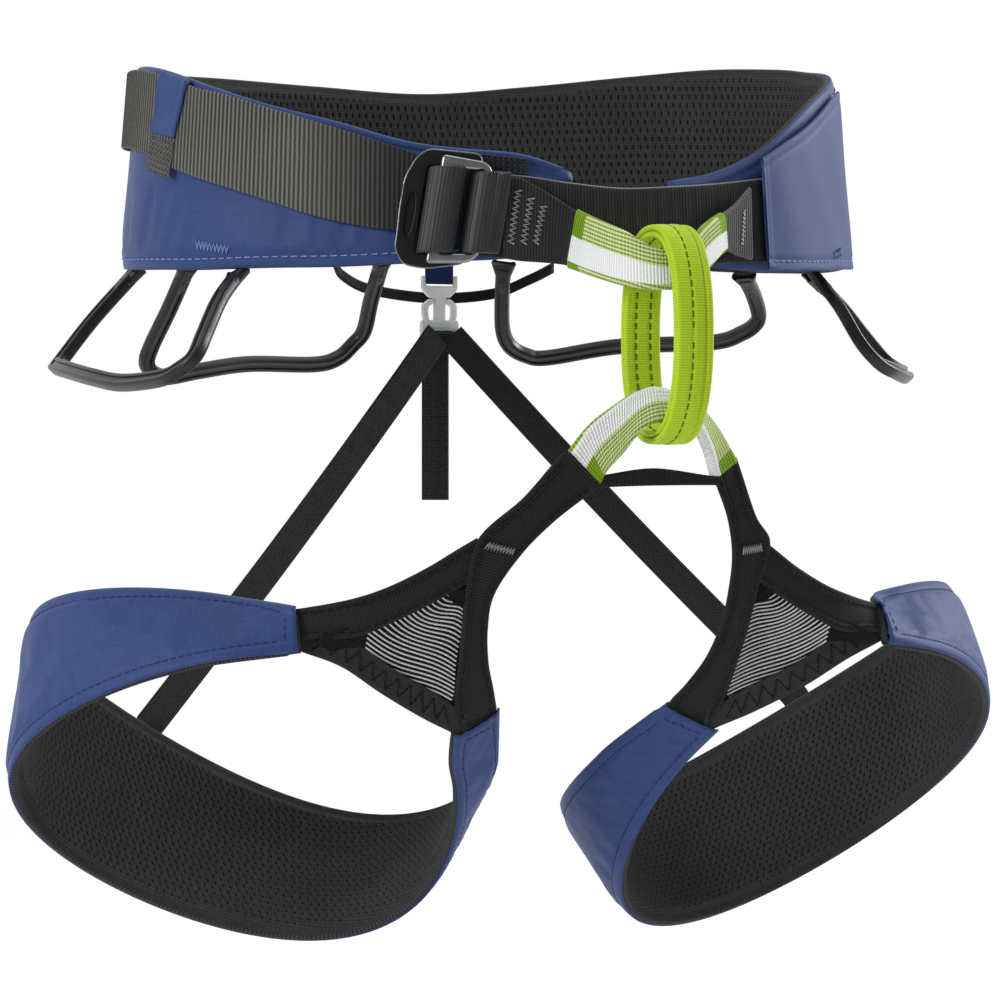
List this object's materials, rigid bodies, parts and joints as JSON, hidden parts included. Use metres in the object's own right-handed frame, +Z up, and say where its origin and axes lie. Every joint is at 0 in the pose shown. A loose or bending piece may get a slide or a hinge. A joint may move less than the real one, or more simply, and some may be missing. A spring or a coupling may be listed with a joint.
{
  "type": "climbing harness",
  "caption": "Adjustable sit harness: padded waist belt with buckle, woven belay loop, padded leg loops on webbing risers, moulded gear loops and rear elastics with a release clip.",
  "frame": {"origin": "centre of the waist ring, at mid height of its sides", "axes": "+X towards the wearer's left, +Y towards the wearer's back, +Z up"},
  "size_m": [0.4194, 0.3079, 0.3612],
  "materials": {
    "blue_fabric": "plain-woven coated face cloth",
    "navy_fabric": "woven tape",
    "foam": "closed-cell foam core",
    "liner_mesh": "three-dimensional air mesh",
    "open_mesh": "open mesh",
    "tail_webbing": "ribbed polyester webbing",
    "tie_in_cover": "woven protector sleeve",
    "belay_webbing": "ribbed tubular webbing",
    "anodised_black": "black anodised",
    "polished_alloy": "satin polished",
    "moulded_plastic": "moulded",
    "clear_plastic": "translucent moulded",
    "elastic": "woven elastic",
    "dark_webbing": "fine polyester webbing"
  },
  "bodies": {
    "belt": {"belt_tail_webbing": "tail_webbing", "bridge_webbing": "dark_webbing", "buckle_backing": "open_mesh", "buckle_plate": "anodised_black", "clip_plug": "clear_plastic", "clip_socket": "clear_plastic", "cross_strap": "dark_webbing", "gear_tab_rear_left_a": "dark_webbing", "gear_tab_rear_left_b": "dark_webbing", "gear_tab_rear_right_a": "dark_webbing", "gear_tab_rear_right_b": "dark_webbing", "gear_tab_side_left_a": "dark_webbing", "gear_tab_side_left_b": "dark_webbing", "gear_tab_side_right_a": "dark_webbing", "gear_tab_side_right_b": "dark_webbing", "keeper_loop": "blue_fabric", "keeper_mesh": "open_mesh", "rear_tab": "navy_fabric", "tie_in_cover_lower": "tie_in_cover", "tie_in_cover_upper": "tie_in_cover", "tie_in_webbing_lower": "dark_webbing", "tie_in_webbing_upper": "dark_webbing", "waist_foam": "foam", "waist_liner": "liner_mesh", "waist_shell": "blue_fabric", "webbing_cover_panel": "blue_fabric"},
    "leg_right": {"leg_right_elastic_band": "elastic", "leg_right_foam": "foam", "leg_right_liner": "liner_mesh", "leg_right_mesh_window": "open_mesh", "leg_right_outer_branch": "dark_webbing", "leg_right_rear_elastic": "elastic", "leg_right_riser": "dark_webbing", "leg_right_shell": "blue_fabric"},
    "leg_left": {"leg_left_elastic_band": "elastic", "leg_left_foam": "foam", "leg_left_liner": "liner_mesh", "leg_left_mesh_window": "open_mesh", "leg_left_outer_branch": "dark_webbing", "leg_left_rear_elastic": "elastic", "leg_left_riser": "dark_webbing", "leg_left_shell": "blue_fabric"},
    "gear_loop_side_right": {"gear_loop_side_right": "moulded_plastic"},
    "gear_loop_side_left": {"gear_loop_side_left": "moulded_plastic"},
    "gear_loop_rear_right": {"gear_loop_rear_right": "moulded_plastic"},
    "gear_loop_rear_left": {"gear_loop_rear_left": "moulded_plastic"},
    "haul_loop": {"haul_loop": "dark_webbing"},
    "belay_loop": {"belay_loop": "belay_webbing"},
    "buckle_bar_frame": {"buckle_frame": "polished_alloy", "buckle_webbing_roll": "dark_webbing"},
    "clip_arm_left": {"clip_arm_left": "clear_plastic"},
    "clip_arm_right": {"clip_arm_right": "clear_plastic"},
    "strap_tail": {"strap_tail": "elastic"}
  },
  "joints": [
    {"name": "leg_right_swing", "type": "hinge", "parent": "belt", "child": "leg_right", "pos_m": [-0.02, -0.141, -0.125], "axis": [1, 0, 0], "range_deg": [-12, 18], "stiffness_Nm_per_rad": 2, "springref_deg": 3.15, "deforming": ["leg_right_rear_elastic"]},
    {"name": "leg_left_swing", "type": "hinge", "parent": "belt", "child": "leg_left", "pos_m": [0.043, -0.141, -0.125], "axis": [1, 0, 0], "range_deg": [-12, 18], "stiffness_Nm_per_rad": 2, "springref_deg": 3.15, "deforming": ["leg_left_rear_elastic"]},
    {"name": "gear_loop_side_right_swing", "type": "hinge", "parent": "belt", "child": "gear_loop_side_right", "pos_m": [-0.127, -0.0575, -0.048], "axis": [-0.093, 0.9939, 0.0588], "range_deg": [-12, 22], "stiffness_Nm_per_rad": 0.06, "springref_deg": -1.72},
    {"name": "gear_loop_side_left_swing", "type": "hinge", "parent": "belt", "child": "gear_loop_side_left", "pos_m": [0.1145, -0.072, -0.0455], "axis": [-0.4163, -0.9073, -0.0587], "range_deg": [-12, 18], "stiffness_Nm_per_rad": 0.06, "springref_deg": -1.72},
    {"name": "gear_loop_rear_right_swing", "type": "hinge", "parent": "belt", "child": "gear_loop_rear_right", "pos_m": [-0.104, 0.077, -0.038], "axis": [0.9454, 0.3199, 0.0621], "range_deg": [-12, 10], "stiffness_Nm_per_rad": 0.06, "springref_deg": -1.72},
    {"name": "gear_loop_rear_left_swing", "type": "hinge", "parent": "belt", "child": "gear_loop_rear_left", "pos_m": [0.049, 0.104, -0.033], "axis": [0.8366, -0.5452, -0.0526], "range_deg": [-12, 18], "stiffness_Nm_per_rad": 0.06, "springref_deg": -1.72},
    {"name": "haul_loop_swing", "type": "hinge", "parent": "belt", "child": "haul_loop", "pos_m": [-0.0255, 0.11436, -0.031], "axis": [0.9941, -0.1072, -0.0153], "range_deg": [-8, 50], "stiffness_Nm_per_rad": 0.02, "springref_deg": -1.15},
    {"name": "belay_loop_swing", "type": "hinge", "parent": "belt", "child": "belay_loop", "pos_m": [0.016, -0.142, -0.036], "axis": [1, 0, 0], "range_deg": [-6, 0]},
    {"name": "buckle_tilt", "type": "hinge", "parent": "belt", "child": "buckle_bar_frame", "pos_m": [-0.04736, -0.11461, -0.024], "axis": [0.149, -0.0476, 0.9877], "range_deg": [0, 20]},
    {"name": "clip_arm_left_squeeze", "type": "hinge", "parent": "belt", "child": "clip_arm_left", "pos_m": [0.0224, 0.104, -0.048], "axis": [0, 1, 0], "range_deg": [0, 6], "stiffness_Nm_per_rad": 0.05},
    {"name": "clip_arm_right_squeeze", "type": "hinge", "parent": "belt", "child": "clip_arm_right", "pos_m": [0.0156, 0.104, -0.048], "axis": [0, 1, 0], "range_deg": [-6, 0], "stiffness_Nm_per_rad": 0.05},
    {"name": "strap_tail_swing", "type": "hinge", "parent": "belt", "child": "strap_tail", "pos_m": [0.0185, 0.1074, -0.066], "axis": [1, 0, 0], "range_deg": [-15, 25]}
  ]
}
